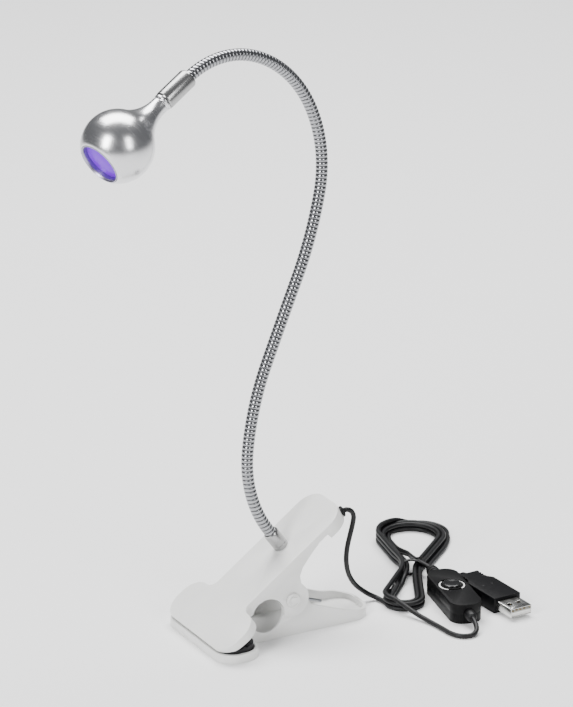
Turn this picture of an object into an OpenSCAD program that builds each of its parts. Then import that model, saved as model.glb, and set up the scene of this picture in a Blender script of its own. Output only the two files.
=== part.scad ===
/* [Clamp] */
// Length of each clamp half, along its own plate
clamp_len = 92.5; // [88:0.5:98]
// Half width of the upper clamp half outside its side walls
upper_half_w = 15.8; // [15:0.1:18]
// Half width of the lower clamp half outside its side walls
lower_half_w = 14; // [13:0.1:14.2]
// Half width of the jaw paddles
jaw_half_w = 31; // [28:0.5:34]
// Length of the wide part of the jaw paddles
jaw_len = 23; // [20:0.5:25]
// Corner radius of the jaw paddles
jaw_corner_r = 10; // [7:0.5:11]
// Wall thickness of the clamp mouldings
wall = 1.6; // [1.2:0.1:1.8]
// Angle of the upper half above the lower half when closed
rest_angle = 36; // [34:1:38]
// Height of the pivot axis above the ground
pivot_z = 19.5; // [18.5:0.1:20.5]
// Radius of the pivot pin
pin_r = 2; // [1.5:0.1:2.2]

/* [Neck] */
// Outer radius of the ribbed flexible neck
hose_r = 3; // [2.6:0.1:3.4]
// Inner radius of the ribbed flexible neck
hose_bore_r = 1.7; // [1.5:0.1:1.8]
// Length of neck between two bending places
hose_step = 43.2; // [40:0.1:46]
// Turn of the plane that the neck bends in, about the lower ferrule
neck_turn = 12.5; // [0:0.5:20]
// Distance of the neck's foot from the jaw edge, along the upper plate
neck_foot = 60; // [56:0.5:62]

/* [Lamp head] */
// Outer radius of the ball-shaped lamp head
ball_r = 17.4; // [16.5:0.1:19]
// Distance from the end of the flexible neck to the centre of the ball
ball_dist = 50; // [48:0.5:54]
// Radius of the upper ferrule
head_ferrule_r = 4.85; // [4.5:0.05:5.4]
// Length of the upper ferrule
head_ferrule_len = 17.6; // [15:0.1:20]
// Radius of the light opening
opening_r = 10.95; // [10.5:0.05:11.2]

/* [Cord] */
// Radius of the power cord
cord_r = 1.25; // [1:0.05:1.5]
// Where the tie of the cord hank lies on the ground
hank_place = [89.3, 22.2]; // [40:0.1:140]
// Direction of the hank's long axis
hank_angle = 60; // [55:1:65]
// Height of the stacked cord runs in the hank
hank_h = 7.6; // [5:0.1:10]

/* [Switch and plug] */
// Length of the switch case
case_len = 46; // [40:1:50]
// Width of the switch case
case_w = 16; // [14:0.5:18]
// Height of the switch case
case_h = 10; // [9:0.5:12]
// Radius of the round push button
button_r = 4.7; // [4:0.1:5.2]
// Length of the plug's moulded grip
grip_len = 34; // [30:1:38]
// Width of the plug's wide grip
grip_w = 15.5; // [14:0.5:17]
// Height of the plug's grip
grip_h = 8; // [7:0.5:9]

/* [Hidden] */
$fn = 64;

jaw_x = -clamp_len / 2;          // front edge of both jaws
plate_t = 1.8;                   // thickness of the clamp's flat plates
jaw_rim_h = 4.4;                 // height of the lower jaw's rim
upper_front_z = 6.4;             // height of the upper plate's outer face at the jaw edge
handle_corner_r = 10;            // corner radius at the handle ends
lobe_notch_r = 4.5;              // hollow between the jaw lobes and the body
inner_gap = 0.25;                // play between the two clamp halves' side walls
lip_depth = 6.5;                 // depth of the lip round the upper handle
lip_start = 79;                  // where that lip begins
ear_r = 8.8;                     // radius of the upper half's pivot ears
lower_ear_r = 7.6;               // radius of the lower half's pivot ears
throat = [-13.5, 13.5];          // centre of the round cut-out behind the jaws
throat_r = 9;
pin_play = 0.05;

ferrule_r = 3.8;                 // lower ferrule
ferrule_h = 10.5;
spigot_r = 2.95;
spigot_len = 6.4;
washer_t = 0.8;
nut_t = 2.6;
lead_r = 1.25;
hose_in_ferrule = 2.2;           // where the neck ends inside the lower ferrule
neck_start = 12;                 // where the neck leaves its straight foot
hose_in_head = 8;                // how far the neck reaches into the upper ferrule
turn_gap = 0.6;                  // left free at each side of a bending place
neck_bends = [47.5, 18.5, 1, -13, -40, -46.5, -51];

grommet_y = -9;
grommet_at = 91.1;               // along the upper plate, at the end wall
grommet_depth = -4;              // below the upper plate's outer face
grommet_dip = 20;                // how far its axis points down from the plate
grommet_r = 2.1;

cut_z = 13;                      // the ball is cut flat this far in front of its centre
cavity_r = 15.4;
cavity_back = -7;
neck_r = 4.3;
flare_r = 21;

boot_len = 12;
nib_len = 6;
switch_at = [-5, -9.5];          // in the hank's own directions
switch_angle = 198;
plug_at = [-11, -25];
plug_angle = 213;
boot_r = 3.4;
case_corner_r = 6.5;
button_play = 0.1;
shell_w = 12;
shell_h = 4.5;
shell_len = 12;
shell_t = 0.35;
plug_boot_len = 5.5;

// The cord's own route points, from the upper handle to the hank
tail_route = [
  [31.7, -9, 57.3], [33.1, -9, 57.6], [35, -9, 57.1], [36.8, -9, 55.5], [37.6, -8.9, 52.8],
  [37, -8.7, 48.5], [35.9, -8.2, 43], [35.1, -7.3, 37.3], [35.3, -5.9, 31.5], [36.6, -4, 25.8],
  [39, -1.6, 20.2], [42.4, 0.9, 14.8], [46.4, 3, 10], [50.6, 4.2, 6.2], [54.2, 4.1, 3.4],
  [57, 2.6, 1.9], [58.1, -0.2, 1.4], [57.7, -3.2, 1.3]
];
// From the hank's waist to the switch, in the hank's own directions
switch_route = [[-0.6, -5.6, 5.6], [-2.6, -8.2, 5.3], [-5, -9.5, 5]];
// From the switch's nib back to the hank
return_route = [
  [-65.6, -29.2, 5], [-68.8, -30.2, 4.2], [-72.8, -30.8, 2.6], [-76.4, -29.2, 1.5],
  [-78.2, -25.4, 1.25], [-77.2, -21, 1.25], [-73.8, -17.4, 1.25], [-69.2, -14.2, 1.25],
  [-64.4, -10.6, 1.3], [-59.8, -6.4, 1.8], [-55.4, -1.8, 2.8], [-51.2, 2.6, 4.3], [-47.6, 6.6, 5.6]
];
// From the hank to the plug
plug_route = [
  [9, -7.4, 3.4], [5, -8.2, 2.6], [1.4, -10.2, 1.8], [-1.4, -13.8, 1.5], [-4, -18, 1.8],
  [-7.2, -22, 2.9], [-11, -25, 4]
];
// Inside the upper clamp half: along the plate, across it, below its outer face
lead_route = [
  [60, 0, -6.4], [60, 0, -8], [61, -0.5, -10], [63.6, -1.4, -11.4], [67.6, -2.8, -11.4],
  [72, -4.4, -9.8], [76.6, -6.2, -7.6], [81, -7.8, -5.4], [85, -8.8, -3.8], [89.6, -9, -3.5]
];

// A round tube along a list of points, its rings kept from twisting
function unit(v) = v / norm(v);
function heading(route, i) =
  unit(route[min(i + 1, len(route) - 1)] - route[max(i - 1, 0)]);
function square_to(v, t) = unit(v - (v * t) * t);
function ring_sides(route, i, before) =
  i == len(route) ? [] :
    let (a = square_to(before, heading(route, i))) concat([a], ring_sides(route, i + 1, a));
module tube(route, r, sides = 8) {
  first = heading(route, 0);
  along = ring_sides(route, 0, abs(first.z) < 0.8 ? [0, 0, 1] : [0, 1, 0]);
  rings = [
    for (i = [0:len(route) - 1])
      let (a = along[i], b = cross(heading(route, i), a))
        for (k = [0:sides - 1]) route[i] + r * (cos(360 * k / sides) * a + sin(360 * k / sides) * b)
  ];
  last = (len(route) - 1) * sides;
  skin = [
    for (i = [0:len(route) - 2]) for (k = [0:sides - 1])
      let (n = (k + 1) % sides)
        [(i + 1) * sides + k, (i + 1) * sides + n, i * sides + n, i * sides + k]
  ];
  near_end = [for (k = [0:sides - 1]) k];
  far_end = [for (k = [sides - 1:-1:0]) last + k];
  polyhedron(rings, concat([near_end], skin, [far_end]));
}

// Frames of reference
module on_upper_half() translate([jaw_x, 0, upper_front_z]) rotate([0, -rest_angle, 0]) children();
module bend_step(bend) {
  r = hose_step * 180 / (PI * bend);
  translate([r, 0, 0]) rotate([0, bend, 0]) translate([-r, 0, 0]) children();
}
module at_neck(k) {
  if (k == 0) on_upper_half() translate([neck_foot, 0, neck_start]) rotate([0, 0, neck_turn]) children();
  else at_neck(k - 1) bend_step(neck_bends[k - 1]) children();
}
module on_head() at_neck(len(neck_bends)) children();
module on_ball() on_head() translate([0, 0, ball_dist]) children();
module on_hank() translate(hank_place) rotate(hank_angle) children();
module on_switch() on_hank() translate(switch_at) rotate(switch_angle) children();
module on_plug() on_hank() translate(plug_at) rotate(plug_angle) children();

// Plan of a clamp half, drawn from the jaw edge, drawn in by inset
module half_plan(half_w, inset) {
  lobe_r = jaw_corner_r - inset;
  lobe_y = jaw_half_w - jaw_corner_r;
  end_r = handle_corner_r - inset;
  for (s = [-1, 1]) {
    translate([jaw_corner_r, s * lobe_y]) circle(lobe_r);
    translate([jaw_len - jaw_corner_r, s * lobe_y]) circle(lobe_r);
    translate([jaw_corner_r, s * lobe_y - lobe_r]) square([jaw_len - 2 * jaw_corner_r, 2 * lobe_r]);
    translate([clamp_len - handle_corner_r, s * (half_w - handle_corner_r)]) circle(end_r);
    difference() {
      translate([jaw_len - 4, s > 0 ? half_w - inset - 1 : -half_w + inset - lobe_notch_r])
        square([4 + lobe_notch_r, lobe_notch_r + 1]);
      translate([jaw_len + lobe_notch_r, s * (half_w + lobe_notch_r)]) circle(lobe_notch_r + inset);
    }
  }
  translate([inset, -lobe_y]) square([jaw_len - 2 * inset, 2 * lobe_y]);
  translate([inset + 2, -half_w + inset])
    square([clamp_len - handle_corner_r - inset - 2, 2 * (half_w - inset)]);
  translate([clamp_len / 2, -half_w + handle_corner_r])
    square([clamp_len / 2 - inset, 2 * (half_w - handle_corner_r)]);
}
// A side profile drawn in X and Z, made as wide as the clamp
module across() rotate([90, 0, 0]) linear_extrude(3 * jaw_half_w, center = true) children();
module pivot_bore(r) translate([0, 0, pivot_z]) rotate([90, 0, 0]) cylinder(4 * upper_half_w, r = r, center = true);

module lower_side() {
  difference() {
    union() {
      polygon([[jaw_x, 0], [jaw_x, jaw_rim_h], [-22, jaw_rim_h], [-7, pivot_z + 2], [4, pivot_z + 6],
               [11.5, 14], [31.5, 6.6], [43, 4.6], [clamp_len / 2, 4.6], [clamp_len / 2, 0]]);
      translate([0, pivot_z]) circle(lower_ear_r);
    }
    translate(throat) circle(throat_r);
  }
}
module clamp_lower() color("white") difference() {
  intersection() {
    union() {
      linear_extrude(plate_t) translate([jaw_x, 0]) half_plan(lower_half_w, 0);
      linear_extrude(2 * pivot_z) translate([jaw_x, 0]) difference() {
        half_plan(lower_half_w, 0);
        half_plan(lower_half_w, wall);
      }
    }
    across() lower_side();
  }
  pivot_bore(pin_r);
}
module lower_jaw_pad() color("black") intersection() {
  translate([jaw_x, 0, plate_t]) linear_extrude(8) half_plan(lower_half_w, wall + 0.8);
  across() difference() {
    polygon([[jaw_x, 0], [jaw_x, 4.7], [-28, 7.2], [-23.5, 7.2], [-22.4, 6.2], [-22.4, 0]]);
    for (x = [-42:3:-26]) translate([x, 5.2 + (x + 42) * 0.135]) square([1.2, 3]);
  }
}
module pivot_pin() color("silver") translate([0, 0, pivot_z]) rotate([90, 0, 0])
  cylinder(2 * upper_half_w + 1.6, r = pin_r, center = true);
module pivot_cap(side) color("white") translate([0, side * (upper_half_w + 0.15), pivot_z]) rotate([-90 * side, 0, 0])
  difference() {
    union() {
      cylinder(1.1, r = 3.6);
      translate([0, 0, 1.1]) cylinder(0.4, r1 = 3.6, r2 = 3.2);
    }
    translate([0, 0, -1]) cylinder(1.65, r = pin_r);
    translate([0, 0, 0.9]) difference() {
      cylinder(2, r = 2.7);
      translate([0, 0, -1]) cylinder(4, r = 1.7);
      rotate(side > 0 ? 0 : 180) translate([-4, -1.6, -1]) cube([4, 3.2, 4]);
    }
  }

spring_r = 4.2;
wire_r = 0.7;
spring_from = 140;
spring_to = 250 + 5 * 360;
spring_half = 5.7;
spring_steps = 60;
upper_leg = 30;
lower_leg = 31;
function coil_point(t) =
  let (a = spring_from + (spring_to - spring_from) * t)
    [spring_r * cos(a), -spring_half + 2 * spring_half * t, pivot_z + spring_r * sin(a)];
function leg_dir(a, s) = [-s * sin(a), 0, s * cos(a)];
spring_route = concat(
  [for (d = [upper_leg, upper_leg / 2]) coil_point(0) + d * leg_dir(spring_from, -1)],
  [for (i = [0:spring_steps]) coil_point(i / spring_steps)],
  [for (d = [lower_leg / 2, lower_leg]) coil_point(1) + d * leg_dir(spring_to, 1)]
);
module torsion_spring() color("gray") tube(spring_route, wire_r);

module upper_side() {
  pivot_p = (0 - jaw_x) * cos(rest_angle) + (pivot_z - upper_front_z) * sin(rest_angle);
  pivot_h = -(0 - jaw_x) * sin(rest_angle) + (pivot_z - upper_front_z) * cos(rest_angle);
  throat_p = (throat.x - jaw_x) * cos(rest_angle) + (throat.y - upper_front_z) * sin(rest_angle);
  throat_h = -(throat.x - jaw_x) * sin(rest_angle) + (throat.y - upper_front_z) * cos(rest_angle);
  difference() {
    union() {
      polygon([[0, 0], [0, -plate_t], [6, -4], [24, -5.2], [30, -9], [pivot_p - ear_r, pivot_h + 2],
               [pivot_p, pivot_h], [pivot_p + ear_r * 0.93, pivot_h + 3], [55.2, -9.5], [59, -7],
               [66, -5], [73, -3.4], [lip_start - 0.4, -3.4], [lip_start, -lip_depth],
               [clamp_len - 3, -lip_depth], [clamp_len, -lip_depth + 1.5], [clamp_len, 0]]);
      translate([pivot_p, pivot_h]) circle(ear_r);
    }
    translate([throat_p, throat_h]) circle(throat_r);
  }
}
module grommet_axis() on_upper_half() translate([grommet_at, grommet_y, grommet_depth]) rotate([0, 90 + grommet_dip, 0]) children();
module clamp_upper() color("white") difference() {
  on_upper_half() intersection() {
    union() {
      translate([0, 0, -plate_t]) linear_extrude(plate_t) half_plan(upper_half_w, 0);
      translate([0, 0, -40]) linear_extrude(40) difference() {
        half_plan(upper_half_w, 0);
        half_plan(upper_half_w, upper_half_w - lower_half_w - inner_gap);
      }
    }
    across() upper_side();
  }
  translate([2 * jaw_x, -2 * jaw_half_w, -40]) cube([-1.55 * jaw_x, 4 * jaw_half_w, 40 + jaw_rim_h + 0.3]);
  pivot_bore(pin_r + pin_play);
  on_upper_half() translate([neck_foot, 0, -plate_t - 1]) cylinder(plate_t + 2, r = spigot_r + pin_play);
  grommet_axis() cylinder(12, r = grommet_r, center = true);
  grommet_axis() translate([0, 0, 1]) cylinder(6, r = grommet_r + 0.75);
}
module upper_jaw_pad() color("black") difference() {
  on_upper_half() translate([0, 0, -plate_t - 1.6]) linear_extrude(1.6) intersection() {
    half_plan(upper_half_w, wall + 1);
    translate([3, -jaw_half_w]) square([jaw_len - 2, 2 * jaw_half_w]);
  }
  on_upper_half() for (p = [7:3:22]) translate([p, -2 * jaw_half_w, -plate_t - 3.2]) cube([1.2, 4 * jaw_half_w, 2.3]);
  translate([2 * jaw_x, -2 * jaw_half_w, 0]) cube([-2 * jaw_x, 4 * jaw_half_w, 5.6]);
  translate([jaw_x, -2 * jaw_half_w, 0]) cube([24, 4 * jaw_half_w, 7.5]);
}

module base_ferrule() color("silver") on_upper_half() translate([neck_foot, 0, 0]) difference() {
  union() {
    cylinder(ferrule_h - 0.8, r = ferrule_r);
    translate([0, 0, ferrule_h - 0.8]) cylinder(0.8, r1 = ferrule_r, r2 = ferrule_r - 0.5);
    translate([0, 0, -spigot_len]) cylinder(spigot_len + 1, r = spigot_r);
  }
  translate([0, 0, hose_in_ferrule]) cylinder(ferrule_h, r = hose_r + pin_play);
  translate([0, 0, -spigot_len - 1]) cylinder(spigot_len + 4, r = hose_bore_r);
}
module lock_washer() color("silver") on_upper_half() translate([neck_foot, 0, -plate_t - washer_t]) difference() {
  cylinder(washer_t, r = 5);
  translate([0, 0, -1]) cylinder(washer_t + 2, r = spigot_r + pin_play);
  translate([2, -0.4, -1]) cube([4, 0.8, 3]);
}
module base_nut() color("goldenrod") on_upper_half() translate([neck_foot, 0, -plate_t - washer_t - nut_t]) difference() {
  cylinder(nut_t, r = 4.6, $fn = 6);
  translate([0, 0, -1]) cylinder(nut_t + 2, r = spigot_r + pin_play);
}
module lead_in_clamp() color("dimgray") on_upper_half() tube(lead_route, lead_r);
module cord_grommet() color("black") grommet_axis() difference() {
  union() {
    translate([0, 0, -1.5]) cylinder(3, r = grommet_r);
    translate([0, 0, 1.05]) cylinder(0.55, r = grommet_r + 0.7);
  }
  cylinder(12, r = cord_r, center = true);
}

// The neck: a round tube bent to a part circle, short of its ends where the next piece turns
module ring(r, hole_r) difference() {
  circle(r, $fn = 48);
  if (hole_r > 0) circle(hole_r, $fn = 48);
}
module bent_tube(bend, r, hole_r, start_gap, end_gap) {
  bend_r = hose_step * 180 / (PI * abs(bend));
  start_cut = start_gap * 180 / (PI * bend_r);
  end_cut = end_gap * 180 / (PI * bend_r);
  mirror([bend > 0 ? 1 : 0, 0, 0]) translate([-bend_r, 0, 0]) rotate([90, 0, 0]) rotate(start_cut)
    rotate_extrude(angle = abs(bend) - start_cut - end_cut, $fn = 120) translate([bend_r, 0]) ring(r, hole_r);
}
last_piece = len(neck_bends) - 1;
module neck_piece(k, r, hole_r, gap, foot, tip) {
  if (k < last_piece) at_neck(k) {
    bent_tube(neck_bends[k], r, hole_r, k > 0 ? gap : 0, gap);
    if (k == 0) translate([0, 0, -foot]) linear_extrude(foot) ring(r, hole_r);
  }
  else on_head() {
    mirror([0, 0, 1]) bent_tube(neck_bends[k], r, hole_r, 0, gap);
    linear_extrude(tip) ring(r, hole_r);
  }
}
module hose(k) color("lightgray")
  neck_piece(k, hose_r, hose_bore_r, turn_gap, neck_start - hose_in_ferrule, hose_in_head);
module neck_lead(k) color("dimgray")
  neck_piece(k, lead_r, 0, 0, neck_start + spigot_len, ball_dist + cavity_back);

module head_ferrule() color("silver") on_head() difference() {
  rotate_extrude() polygon([
    [0, -0.4], [head_ferrule_r - 0.5, -0.4], [head_ferrule_r, 0.1], [head_ferrule_r, head_ferrule_len - 0.4],
    [head_ferrule_r - 0.4, head_ferrule_len], [3.3, head_ferrule_len], [3.3, head_ferrule_len + 5], [0, head_ferrule_len + 5]
  ]);
  translate([0, 0, -1]) cylinder(hose_in_head + 1, r = hose_r + pin_play);
  cylinder(ball_dist, r = hose_bore_r);
}
module lamp_housing() {
  flare_c = [neck_r + flare_r, -sqrt(pow(ball_r + flare_r, 2) - pow(neck_r + flare_r, 2))];
  ball_touch = flare_c * ball_r / (ball_r + flare_r);
  neck_top = head_ferrule_len + 0.1 - ball_dist;
  color("silver") on_ball() difference() {
    union() {
      intersection() {
        sphere(ball_r, $fn = 128);
        translate([0, 0, -2 * ball_r + cut_z]) cylinder(2 * ball_r, r = ball_r + 1);
      }
      rotate_extrude() difference() {
        polygon([[0, neck_top], [neck_r, neck_top], [neck_r, flare_c.y], flare_c, ball_touch, [0, ball_touch.y]]);
        translate(flare_c) circle(flare_r, $fn = 128);
      }
      translate([0, 0, neck_top]) cylinder(1.2, r = neck_r + 0.3);
    }
    intersection() {
      sphere(cavity_r, $fn = 128);
      translate([0, 0, cavity_back]) cylinder(cavity_r - cavity_back, r = cavity_r);
    }
    cylinder(ball_r, r = opening_r);
    translate([0, 0, neck_top - 1]) cylinder(6, r = 3.35);
    translate([0, 0, neck_top]) cylinder(ball_dist, r = hose_bore_r);
    translate([0, 0, neck_top + 2]) rotate_extrude() translate([neck_r + 0.1, 0]) circle(0.5);
  }
}
module heat_spreader() color("silver") on_ball() translate([0, 0, cavity_back]) difference() {
  cylinder(3.4, r = opening_r - 0.15);
  for (a = [0:60:300]) rotate(a) translate([8.6, 0, -1]) cylinder(6, r = 1);
}
board_z = cavity_back + 3.4;
module led_board() color("green") on_ball() translate([0, 0, board_z]) cylinder(1.2, r = 9.8);
module led_chip() color("gold") on_ball() translate([0, 0, board_z + 1.2]) {
  translate([-2.5, -2.5, 0]) cube([5, 5, 1]);
  translate([0, 0, 1]) cylinder(0.8, r = 1.9);
}
lens_z = 8.2;
module reflector() color("silver") on_ball() rotate_extrude()
  polygon([[3.6, board_z + 1.2], [4.4, board_z + 1.2], [10.7, lens_z - 1.6], [10.7, lens_z], [9.8, lens_z], [9.8, lens_z - 1.4]]);
module lens() color("violet") on_ball() translate([0, 0, lens_z]) cylinder(2, r = 10.7);
module lens_bezel() color("silver") on_ball() rotate_extrude()
  polygon([[9.9, lens_z + 2], [10.8, lens_z + 2], [10.9, lens_z + 2.4], [10.9, cut_z + 0.3], [10.5, cut_z + 0.3], [9.9, cut_z - 0.6]]);

module cord_tail() color("black") tube(tail_route, cord_r);
module cord_hank() color("black") on_hank() linear_extrude(hank_h) {
  hull() {
    translate([42, 0]) circle(18);
    translate([50, -5]) circle(15);
    translate([2, 0]) circle(5.2);
  }
  hull() {
    translate([-37, 4.2]) circle(10.5);
    translate([-2, 0]) circle(5.2);
  }
}
module twist_tie() color("dimgray") on_hank() {
  translate([-1.8, -6, 0]) difference() {
    cube([3.6, 12, hank_h + 0.9]);
    translate([-1, 0.8, 0.8]) cube([6, 10.4, hank_h - 0.7]);
  }
  for (s = [-1, 1]) translate([0, 1.5 * s, hank_h + 1.2]) rotate([0, 90, 25 + 60 * s])
    translate([0, 0, 1]) cylinder(13, r = 0.7);
  translate([0, 0, hank_h + 0.7]) cylinder(1.1, r = 2.2);
}
module cord_to_switch() color("black") on_hank() tube(switch_route, cord_r);
module cord_from_switch() color("black") on_hank() tube(return_route, cord_r);
module cord_to_plug() color("black") on_hank() tube(plug_route, cord_r);

// The switch lies along X from its boot, its cord axis half way up the case
module case_plan(inset) {
  for (x = [case_corner_r, case_len - case_corner_r]) for (s = [-1, 1])
    translate([boot_len + x, s * (case_w / 2 - case_corner_r)]) circle(case_corner_r - inset);
  translate([boot_len + inset, -case_w / 2 + case_corner_r]) square([case_len - 2 * inset, case_w - 2 * case_corner_r]);
  translate([boot_len + case_corner_r, -case_w / 2 + inset]) square([case_len - 2 * case_corner_r, case_w - 2 * inset]);
}
button_x = boot_len + 20;
screw_spots = [boot_len + 5.5, boot_len + case_len - 5.5];
module along_switch(x, r) translate([x, 0, case_h / 2]) rotate([0, 90, 0]) cylinder(14, r = r);
module switch_case_bottom() color("black") on_switch() difference() {
  linear_extrude(case_h / 2) case_plan(0);
  translate([0, 0, 1.4]) linear_extrude(case_h) difference() {
    case_plan(1.4);
    for (x = screw_spots) translate([x, 4]) circle(2.4);
  }
  for (x = screw_spots) translate([x, 4, -1]) cylinder(case_h, r = 1.05);
  for (x = screw_spots) translate([x, 4, -1]) cylinder(2, r = 1.9);
  along_switch(boot_len - 2, 2.1);
  along_switch(boot_len + case_len - 10, 1.3);
}
module switch_case_top() color("black") on_switch() difference() {
  translate([0, 0, case_h / 2]) linear_extrude(case_h / 2) case_plan(0);
  translate([0, 0, -1.4]) linear_extrude(case_h) difference() {
    case_plan(1.4);
    for (x = screw_spots) translate([x, 4]) circle(2.4);
  }
  for (x = screw_spots) translate([x, 4, 0]) cylinder(case_h - 1.6, r = 0.9);
  translate([button_x, 0, case_h - 4]) cylinder(6, r = button_r + button_play);
  translate([button_x, 0, case_h - 0.6]) difference() {
    cylinder(2, r = 6.9);
    translate([0, 0, -1]) cylinder(4, r = 5.7);
  }
  along_switch(boot_len - 2, 2.1);
  along_switch(boot_len + case_len - 10, 1.3);
}
module switch_boot() color("black") on_switch() translate([0, 0, case_h / 2]) rotate([0, 90, 0]) {
  difference() {
    union() {
      cylinder(boot_len - 0.05, r1 = 2.4, r2 = boot_r);
      for (z = [2:2.6:10]) translate([0, 0, z]) cylinder(1.2, r = 2.9 + z * 0.08);
      translate([0, 0, boot_len - 1]) cylinder(4, r = 2);
    }
    translate([0, 0, -1]) cylinder(boot_len + 6, r = cord_r);
  }
  translate([0, 0, boot_len + case_len + 0.05]) difference() {
    cylinder(nib_len - 0.35, r1 = 2.7, r2 = 2);
    translate([0, 0, -1]) cylinder(nib_len + 6, r = cord_r);
  }
}
module switch_board() color("tan") on_switch() translate([boot_len + 9, -5, 2]) cube([26, 7, 1.2]);
module switch_plunger_block() color("dimgray") on_switch() translate([button_x - 4, -3.8, 3.2]) difference() {
  cube([8, 5.8, 2]);
  translate([4, 3.8, 1]) cylinder(4, r = 1.9);
}
module button_spring() color("silver") on_switch() translate([button_x, 0, 4.5]) tube([
  for (i = [0:32]) [1.4 * cos(i * 33.75), 1.4 * sin(i * 33.75), 0.1 + i * 0.062]
], 0.2, 6);
module switch_button() color("black") on_switch() translate([button_x, 0, 0]) difference() {
  union() {
    translate([0, 0, 7]) cylinder(3.6, r = button_r);
    translate([0, 0, 10.6]) cylinder(0.5, r1 = button_r, r2 = button_r - 0.6);
  }
  translate([0, 0, 6]) cylinder(1.6, r = 3.4);
  translate([0, 0, 20.2]) sphere(9.6, $fn = 96);
}
module switch_screws() color("silver") on_switch() for (x = screw_spots) translate([x, 4, 0]) {
  translate([0, 0, 0.15]) cylinder(0.8, r = 1.8);
  translate([0, 0, 0.15]) cylinder(6.6, r = 0.85);
}

// The plug lies along X from its boot
module plug_overmould() color("black") on_plug() difference() {
  union() {
    translate([plug_boot_len, 0, 0]) linear_extrude(grip_h) union() {
      translate([11, -grip_w / 2]) square([grip_len - 11, grip_w]);
      polygon([[11, -grip_w / 2], [11, grip_w / 2], [8, 5.6], [0, 5.6], [0, -5.6], [8, -5.6]]);
    }
    translate([0, 0, grip_h / 2]) rotate([0, 90, 0]) cylinder(plug_boot_len + 1, r1 = 2.2, r2 = 3.3);
  }
  for (s = [-1, 1]) for (x = [1.6:2:7]) translate([plug_boot_len + x, s > 0 ? 4.9 : -6.9, -1]) cube([0.9, 2, grip_h + 2]);
  translate([-1, 0, grip_h / 2]) rotate([0, 90, 0]) cylinder(plug_boot_len + 3, r = cord_r);
  translate([plug_boot_len + grip_len - 8, -shell_w / 2, (grip_h - shell_h) / 2]) cube([20, shell_w, shell_h]);
}
shell_start = plug_boot_len + grip_len - 8;
module plug_shell() color("silver") on_plug() translate([shell_start, -shell_w / 2, (grip_h - shell_h) / 2]) difference() {
  cube([8 + shell_len, shell_w, shell_h]);
  translate([1, shell_t, shell_t]) cube([8 + shell_len, shell_w - 2 * shell_t, shell_h - 2 * shell_t]);
  for (y = [2, 7.5]) translate([8 + 4.6, y, -1]) cube([2.4, 2.5, shell_h + 2]);
}
module plug_tongue() color("white") on_plug()
  translate([shell_start + 1, -shell_w / 2 + shell_t, grip_h / 2 - shell_h / 2 + shell_t]) cube([7 + shell_len - 0.6, shell_w - 2 * shell_t, 1.9]);
module plug_contacts() color("gold") on_plug() for (y = [-3.5, -1, 1, 3.5])
  translate([shell_start + 2, y - 0.5, grip_h / 2 - shell_h / 2 + shell_t + 1.9]) cube([16, 1, 0.15]);

clamp_lower();
lower_jaw_pad();
pivot_pin();
pivot_cap(-1);  // pivot_cap_near
pivot_cap(1);  // pivot_cap_far
torsion_spring();
clamp_upper();
upper_jaw_pad();
base_ferrule();
lock_washer();
base_nut();
lead_in_clamp();
cord_grommet();
for (k = [0:len(neck_bends) - 1]) {
  hose(k);
  neck_lead(k);
}
head_ferrule();
lamp_housing();
heat_spreader();
led_board();
led_chip();
reflector();
lens();
lens_bezel();
cord_tail();
cord_hank();
twist_tie();
switch_boot();
switch_case_bottom();
switch_case_top();
switch_board();
switch_plunger_block();
button_spring();
switch_button();
switch_screws();
cord_to_switch();
cord_from_switch();
cord_to_plug();
plug_overmould();
plug_shell();
plug_tongue();
plug_contacts();
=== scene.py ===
import math

import bmesh
import bpy
from mathutils import Matrix, Vector


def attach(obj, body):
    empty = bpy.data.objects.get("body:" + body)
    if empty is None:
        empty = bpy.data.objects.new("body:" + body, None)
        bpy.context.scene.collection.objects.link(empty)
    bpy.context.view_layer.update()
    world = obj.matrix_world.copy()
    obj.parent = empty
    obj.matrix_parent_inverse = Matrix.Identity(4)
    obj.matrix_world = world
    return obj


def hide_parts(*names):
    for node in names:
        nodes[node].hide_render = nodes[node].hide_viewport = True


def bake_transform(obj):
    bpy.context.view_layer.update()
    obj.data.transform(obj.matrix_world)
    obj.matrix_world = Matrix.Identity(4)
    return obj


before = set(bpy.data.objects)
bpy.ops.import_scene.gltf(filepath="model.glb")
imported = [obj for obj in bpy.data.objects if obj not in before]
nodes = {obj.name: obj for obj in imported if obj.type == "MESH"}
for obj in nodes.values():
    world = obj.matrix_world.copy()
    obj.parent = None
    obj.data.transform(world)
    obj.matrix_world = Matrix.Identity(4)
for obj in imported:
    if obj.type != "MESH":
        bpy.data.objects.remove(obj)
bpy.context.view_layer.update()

# The stand: a pale matt floor under large soft lamps, with the camera low
# and to the left of the jaws. The floor is plain painted board.


def linear(code):
    """An sRGB hex colour as the linear numbers that a shader takes."""
    parts = [int(code[i:i + 2], 16) / 255 for i in (1, 3, 5)]
    return [p / 12.92 if p <= 0.04045 else ((p + 0.055) / 1.055) ** 2.4 for p in parts] + [1.0]


def add_node(tree, kind, settings=None, links=()):
    """Adds one node, sets its sockets and options, and joins its inputs to other outputs."""
    made = tree.nodes.new(kind)
    for name, value in (settings or {}).items():
        if isinstance(name, int) or name in made.inputs:
            made.inputs[name].default_value = value
        else:
            setattr(made, name, value)
    for name, source in links:
        tree.links.new(source, made.inputs[name])
    return made


def start_material(name, **sockets):
    """A new material with its shader's constant sockets set, and the object's own coordinates."""
    material = bpy.data.materials.new(name)
    material.use_nodes = True
    tree = material.node_tree
    shader = tree.nodes["Principled BSDF"]
    for socket, value in sockets.items():
        shader.inputs[socket.replace("_", " ")].default_value = value
    place = add_node(tree, "ShaderNodeTexCoord").outputs["Object"]
    return material, tree, shader, place


def dress(piece, material):
    if not piece.data.materials:
        piece.data.materials.append(material)
    for held in piece.material_slots:
        held.material = material
    return piece


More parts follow.
